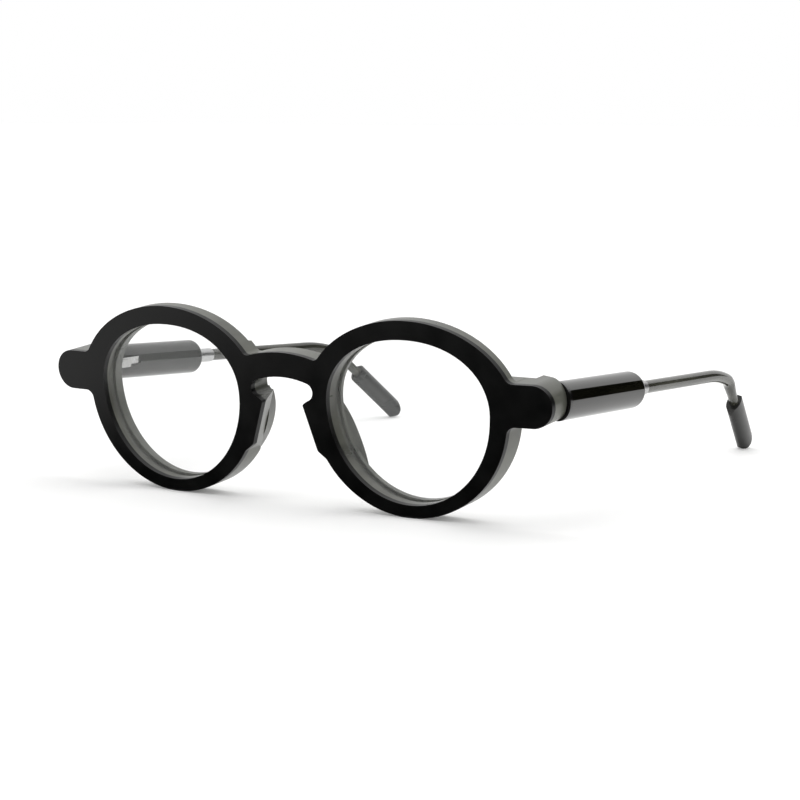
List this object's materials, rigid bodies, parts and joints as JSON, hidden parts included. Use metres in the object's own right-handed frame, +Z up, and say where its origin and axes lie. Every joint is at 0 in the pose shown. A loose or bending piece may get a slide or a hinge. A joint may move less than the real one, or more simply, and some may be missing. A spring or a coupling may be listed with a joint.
{
  "type": "round eyeglasses",
  "caption": "Round thick-rimmed eyeglasses with a keyhole bridge, cylindrical temple barrels, thin bent rods and flat oval tips; the temples fold on pin hinges.",
  "frame": {"origin": "middle of the footprint on the surface the open glasses stand on", "axes": "+Z up, +X to the wearer's left, +Y from the front back towards the temple tips"},
  "size_m": [0.1432, 0.142, 0.0461],
  "materials": {
    "face_black": "satin",
    "frame_smoke": "satin",
    "lens_clear": "polished",
    "pad_smoke": "satin",
    "hinge_steel": "brushed",
    "screw_steel": "polished",
    "disc_black": "gloss",
    "barrel_smoke": "gloss",
    "collar_satin": "satin",
    "rod_smoke": "gloss",
    "core_steel": "drawn",
    "sleeve_smoke": "satin"
  },
  "bodies": {
    "front": {"front_laminate": "face_black", "front_body": "frame_smoke", "lens_left": "lens_clear", "lens_right": "lens_clear", "nose_pad_left": "pad_smoke", "hinge_front_leaf_left": "hinge_steel", "hinge_rivets_left": "hinge_steel", "hinge_screw_left": "screw_steel", "nose_pad_right": "pad_smoke", "hinge_front_leaf_right": "hinge_steel", "hinge_rivets_right": "hinge_steel", "hinge_screw_right": "screw_steel"},
    "temple_left": {"hinge_temple_leaf_left": "hinge_steel", "barrel_pins_left": "screw_steel", "end_disc_left": "disc_black", "temple_barrel_left": "barrel_smoke", "collar_left": "collar_satin", "temple_rod_left": "rod_smoke", "core_wire_left": "core_steel", "tip_sleeve_left": "sleeve_smoke"},
    "temple_right": {"hinge_temple_leaf_right": "hinge_steel", "barrel_pins_right": "screw_steel", "end_disc_right": "disc_black", "temple_barrel_right": "barrel_smoke", "collar_right": "collar_satin", "temple_rod_right": "rod_smoke", "core_wire_right": "core_steel", "tip_sleeve_right": "sleeve_smoke"}
  },
  "joints": [
    {"name": "temple_left_fold", "type": "hinge", "parent": "front", "child": "temple_left", "pos_m": [0.0606, -0.0579, 0.0285], "axis": [0, 0, 1], "range_deg": [0, 88]},
    {"name": "temple_right_fold", "type": "hinge", "parent": "front", "child": "temple_right", "pos_m": [-0.0606, -0.0579, 0.0285], "axis": [0, 0, -1], "range_deg": [0, 70]}
  ]
}
